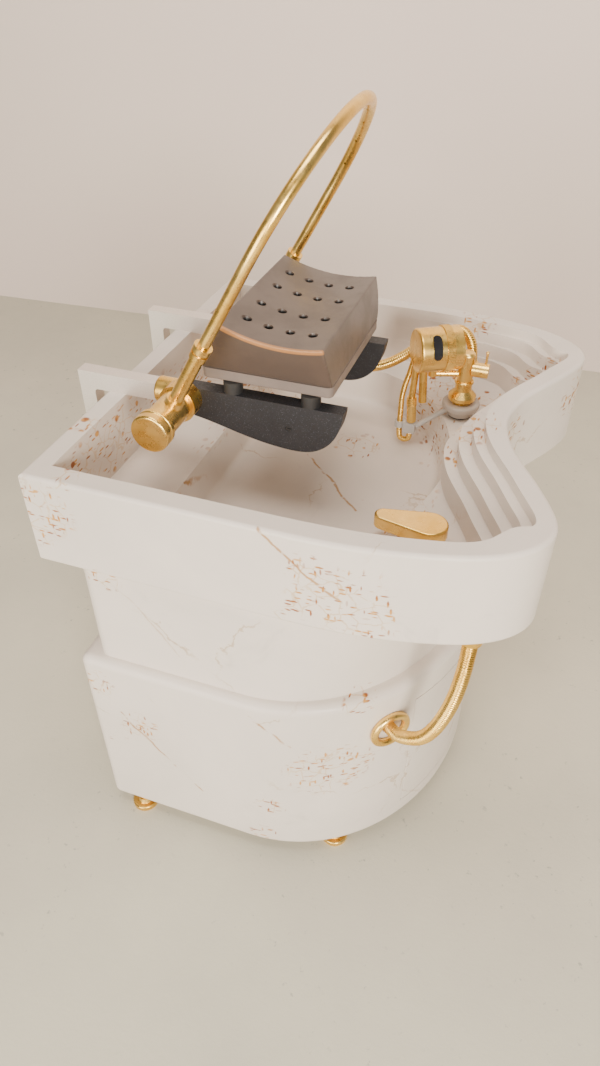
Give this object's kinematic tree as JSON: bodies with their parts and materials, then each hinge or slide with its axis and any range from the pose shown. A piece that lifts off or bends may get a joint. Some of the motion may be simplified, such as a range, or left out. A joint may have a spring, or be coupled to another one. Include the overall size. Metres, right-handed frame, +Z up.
{
  "type": "head spa wash basin",
  "caption": "Free-standing marble-look head spa wash basin with a tilting water arch, neck rest on side brackets, faucet, mixer lever, hoses and a cabinet base with a door.",
  "frame": {"origin": "on the floor, under the middle of the box around the whole object", "axes": "+Z up; +X from the straight back edge with the hooks towards the two rounded lobes; +Y from the mixer lever side towards the faucet side"},
  "size_m": [0.6143, 0.616, 0.9814],
  "materials": {
    "marble": "cast resin with a polished marbled gel coat, gold veins",
    "gold": "satin gold plating",
    "gold_hose": "ribbed gold-coloured hose",
    "steel": "satin",
    "grey_flange": "fine satin",
    "black_bracket": "fine speckled powder coat",
    "black_post": "matt",
    "pad": "satin moulded foam skin",
    "tray": "satin",
    "bumper": "matt",
    "window": "gloss",
    "clip": "matt",
    "pipe": "matt",
    "pump": "matt",
    "inlet": "as turned"
  },
  "bodies": {
    "basin_stand": {"base_cabinet": "marble", "basin_shell": "marble", "body_cap": "gold", "body_link": "gold", "body_support": "gold", "bracket_screws": "black_post", "clip_arm": "clip", "cradle_bracket_far": "black_bracket", "cradle_bracket_near": "black_bracket", "cradle_posts": "black_post", "display_window": "window", "diverter_body": "gold", "drain_flange": "gold", "faucet_collar": "gold", "faucet_column": "gold", "faucet_flange": "grey_flange", "faucet_step": "grey_flange", "feed_hose": "gold_hose", "foot_gasket": "bumper", "hinge_lower_frame_leaf": "gold", "hinge_upper_frame_leaf": "gold", "hook_bumpers": "bumper", "hook_far": "steel", "hook_near": "steel", "hose_fitting": "gold", "mixer_base": "gold", "mixing_body": "gold", "outlet_ring": "gold", "pedestal_shell": "marble", "pivot_block_far": "gold", "pivot_block_near": "gold", "sensor_clip": "clip", "sensor_lead": "gold_hose", "sensor_socket": "gold", "supply_hose": "gold_hose", "vent_tube": "gold", "waste_pipe": "pipe", "water_inlet": "inlet", "water_pump": "pump"},
    "arch": {"pivot_hub_near": "gold", "pivot_hub_far": "gold", "arch_legs": "gold", "arch_collars": "gold", "arch_tube": "gold"},
    "knob_near": {"pivot_knob_near": "gold"},
    "knob_far": {"pivot_knob_far": "gold"},
    "neck_rest": {"pad_tray": "tray", "neck_pad": "pad"},
    "door": {"access_door": "marble", "hinge_upper_door_leaf": "gold", "hinge_lower_door_leaf": "gold"},
    "strainer": {"drain_strainer": "gold"},
    "foot_1": {"levelling_foot_1": "gold"},
    "foot_2": {"levelling_foot_2": "gold"},
    "foot_3": {"levelling_foot_3": "gold"},
    "foot_4": {"levelling_foot_4": "gold"},
    "mixer_ball_body": {"mixer_ball": "gold"},
    "mixer_handle": {"mixer_lever": "gold"},
    "temperature_dial": {"temperature_ring": "gold"},
    "diverter_handle": {"diverter_cap": "gold"}
  },
  "joints": [
    {"name": "arch_swing", "type": "hinge", "parent": "basin_stand", "child": "arch", "pos_m": [-0.156, 0, 0.655], "axis": [0, 1, 0], "range_deg": [-50, 40]},
    {"name": "knob_near_turn", "type": "hinge", "parent": "basin_stand", "child": "knob_near", "pos_m": [-0.156, 0, 0.655], "axis": [0, -1, 0], "continuous": true},
    {"name": "knob_far_turn", "type": "hinge", "parent": "basin_stand", "child": "knob_far", "pos_m": [-0.156, 0, 0.655], "axis": [0, 1, 0], "continuous": true},
    {"name": "neck_rest_lift", "type": "slide", "parent": "basin_stand", "child": "neck_rest", "axis": [0, 0, 1], "range_m": [0, 0.12]},
    {"name": "door_swing", "type": "hinge", "parent": "basin_stand", "child": "door", "pos_m": [0.19666, 0.19118, 0.182], "axis": [0, 0, 1], "range_deg": [0, 100]},
    {"name": "strainer_lift", "type": "slide", "parent": "basin_stand", "child": "strainer", "axis": [0, 0, 1], "range_m": [0, 0.06]},
    {"name": "foot_1_screw", "type": "slide", "parent": "basin_stand", "child": "foot_1", "axis": [0, 0, -1], "range_m": [0, 0.012]},
    {"name": "foot_2_screw", "type": "slide", "parent": "basin_stand", "child": "foot_2", "axis": [0, 0, -1], "range_m": [0, 0.012]},
    {"name": "foot_3_screw", "type": "slide", "parent": "basin_stand", "child": "foot_3", "axis": [0, 0, -1], "range_m": [0, 0.012]},
    {"name": "foot_4_screw", "type": "slide", "parent": "basin_stand", "child": "foot_4", "axis": [0, 0, -1], "range_m": [0, 0.012]},
    {"name": "mixer_turn", "type": "hinge", "parent": "basin_stand", "child": "mixer_ball_body", "pos_m": [0.1735, -0.167, 0.561], "axis": [0, 0, 1], "range_deg": [-45, 45]},
    {"name": "mixer_tip", "type": "hinge", "parent": "mixer_ball_body", "child": "mixer_handle", "pos_m": [0.1735, -0.167, 0.561], "axis": [0, 1, 0], "range_deg": [0, 20]},
    {"name": "temperature_turn", "type": "hinge", "parent": "basin_stand", "child": "temperature_dial", "pos_m": [0.139, 0.14, 0.655], "axis": [-0.866, -0.5, 0], "range_deg": [-60, 60]},
    {"name": "diverter_turn", "type": "hinge", "parent": "basin_stand", "child": "diverter_handle", "pos_m": [0.1755, 0.138, 0.627], "axis": [1, 0, 0], "range_deg": [-45, 45]}
  ]
}
